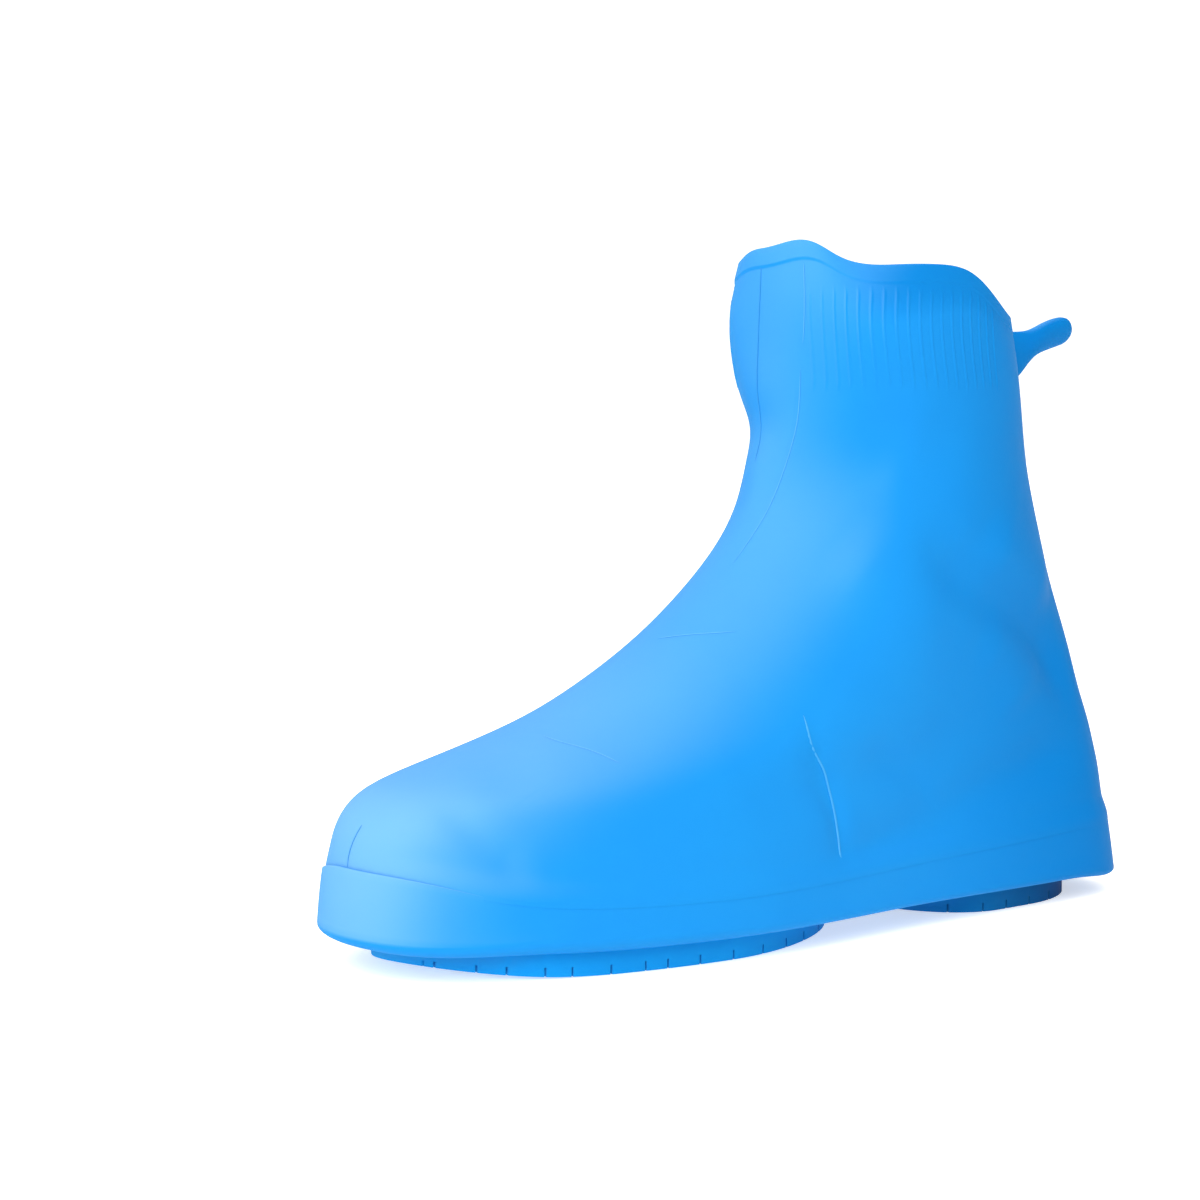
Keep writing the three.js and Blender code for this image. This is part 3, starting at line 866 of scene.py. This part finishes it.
def tread_pad(tread):
    """A tread's outline, pulled up into a pad."""
    plan = plan_of(tread)
    bpy.ops.object.select_all(action="DESELECT")
    bpy.ops.mesh.primitive_circle_add(vertices=len(plan), radius=1, fill_type="NGON")
    pad = bpy.context.object
    pad.name = tread["name"]
    for vertex, (x, y) in zip(pad.data.vertices, plan):
        vertex.co = x / 1000, y / 1000, 0
    bpy.ops.object.mode_set(mode="EDIT")
    bpy.ops.mesh.select_all(action="SELECT")
    pull = {"value": (0, 0, (tread_depth + tread_sunk) / 1000)}
    bpy.ops.mesh.extrude_region_move(TRANSFORM_OT_translate=pull)
    bpy.ops.mesh.select_all(action="SELECT")
    bpy.ops.mesh.normals_make_consistent(inside=False)
    bpy.ops.object.mode_set(mode="OBJECT")
    return pad


def cut_grooves(pad, tread):
    """Cuts a tread's chevrons and its two long grooves, and softens the edges of the blocks they leave."""
    start = tread["start"] - foot_length / 2
    end = tread["end"] - foot_length / 2
    cutters = []
    for along in tread["grooves"]:
        x = along - foot_length / 2
        tip = x + groove_sweep + chevron_ahead
        cutters.append(cut_block(x, -foot_width / 2, tip, chevron_across))
        cutters.append(cut_block(x, foot_width / 2, tip, -chevron_across))
    for y in (-long_groove, long_groove):
        cutters.append(cut_block(start - long_groove_over, y, end + long_groove_over, y))
    bpy.ops.object.select_all(action="DESELECT")
    for cutter in cutters:
        cutter.select_set(True)
    bpy.context.view_layer.objects.active = cutters[0]
    bpy.ops.object.join()
    grooves = bpy.context.object
    bpy.ops.object.select_all(action="DESELECT")
    pad.select_set(True)
    bpy.context.view_layer.objects.active = pad
    cut = pad.modifiers.new("grooves", "BOOLEAN")
    cut.operation = "DIFFERENCE"
    cut.solver = "EXACT"
    cut.use_self = True
    cut.object = grooves
    bpy.ops.object.modifier_apply(modifier=cut.name)
    bpy.data.objects.remove(grooves)
    soft = pad.modifiers.new("moulded_edges", "BEVEL")
    soft.width = block_rounding / 1000
    soft.segments = 2
    soft.limit_method = "ANGLE"
    soft.angle_limit = math.radians(40)
    bpy.ops.object.modifier_apply(modifier=soft.name)
    bpy.ops.object.shade_smooth_by_angle(angle=math.radians(35))


def bend_with_sole(pad):
    """Bends a tread up with the toe and with the sole's underside, and sets it back by the tab's reach."""
    for vertex in pad.data.vertices:
        up = vertex.co.z * 1000 / tread_depth
        spring = float(spring_at(vertex.co.x * 1000, 0.0))
        lift = float(sole_lift_at(vertex.co.x * 1000)) * min(up, 1)
        under = max(0, 1 - up)
        vertex.co.z += (lift + spring * (1 + under * tread_lift / toe_spring)) / 1000
        vertex.co.x -= tab_reach / 1000


# The treads' latex is brighter than the upper's, a painted lift for light bounced up from the floor, and its
# painted shade towards the heel is far deeper, for the shade under the heel
tread_latex = moulded_latex("blue_latex_tread", "#1494de", "#108cd6", "#00366a", "#3e96d0", 0.66)
for tread in treads:
    pad = tread_pad(tread)
    cut_grooves(pad, tread)
    bend_with_sole(pad)
    pad.data.materials.append(tread_latex)
    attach(pad, "root")
    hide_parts("outsole")

# The studio. A table of matt white acrylic, lit a little from below so that shadows stay pale, in a white
# room lit softly and evenly from above and, by a very wide lamp far away, from the toe's side. The camera
# stands low in front of the near side, as in the photograph.
bpy.ops.object.select_all(action="DESELECT")
bpy.ops.mesh.primitive_plane_add(size=60, location=(0, 0, 0))
floor = bpy.context.object
floor.name = "studio_floor"
acrylic = bpy.data.materials.new("white_acrylic_sheet")
acrylic.use_nodes = True
sheet = acrylic.node_tree.nodes["Principled BSDF"].inputs
sheet["Base Color"].default_value = linear("#f4eada")
sheet["Roughness"].default_value = 0.9
sheet["Emission Color"].default_value = linear("#ffffff")
sheet["Emission Strength"].default_value = 0.55
floor.data.materials.append(acrylic)

room = bpy.data.worlds.new("white_room")
room.use_nodes = True
room.node_tree.nodes.clear()
outward = node(room, "ShaderNodeTexCoord").outputs["Generated"]
backdrop = node(room, "ShaderNodeVectorMath", {0: outward, 1: (0.66, 0.75, 0.0)}, operation="DOT_PRODUCT")
wall = node(
    room,
    "ShaderNodeMapRange",
    {"Value": backdrop.outputs["Value"], "From Min": 0.6, "From Max": 0.93, "To Max": 1.15},
    interpolation_type="SMOOTHSTEP",
)
toeward = node(room, "ShaderNodeVectorMath", {0: outward, 1: (-0.85, -0.45, 0.25)}, operation="DOT_PRODUCT")
window = node(
    room,
    "ShaderNodeMapRange",
    {"Value": toeward.outputs["Value"], "From Max": 0.9, "To Max": 0.3},
    interpolation_type="SMOOTHSTEP",
)
upward = node(room, "ShaderNodeSeparateXYZ", {0: outward})
ceiling = node(
    room,
    "ShaderNodeMapRange",
    {"Value": upward.outputs["Z"], "From Min": 0.2, "From Max": 0.8, "To Min": 0.12, "To Max": 1.27},
    interpolation_type="SMOOTHSTEP",
)
sides = node(room, "ShaderNodeMath", {0: wall.outputs[0], 1: window.outputs[0]}, operation="ADD")
glow = node(room, "ShaderNodeMath", {0: sides.outputs[0], 1: ceiling.outputs[0]}, operation="ADD")
white = node(room, "ShaderNodeBackground", {"Color": linear("#ffffff"), "Strength": glow.outputs[0]})
node(room, "ShaderNodeOutputWorld", {"Surface": white.outputs["Background"]})
bpy.context.scene.world = room

daylight = bpy.data.lights.new("toe_side_light", "SUN")
daylight.energy = 2.3
daylight.angle = math.radians(40)
lamp = bpy.data.objects.new("toe_side_light", daylight)
bpy.context.scene.collection.objects.link(lamp)
lamp.rotation_euler = math.radians(58), 0, math.radians(-59)

lens = bpy.data.cameras.new("photo_camera")
lens.sensor_width = 36
lens.lens = 73.4
camera = bpy.data.objects.new("photo_camera", lens)
bpy.context.scene.collection.objects.link(camera)
camera.location = (-0.5224, -0.6431, 0.1590)
camera.rotation_euler = (math.radians(90 - 3.435), 0, math.radians(-35.707))
lens.clip_start = 0.01
lens.clip_end = 100
bpy.context.scene.camera = camera
bpy.context.scene.view_settings.view_transform = "Standard"
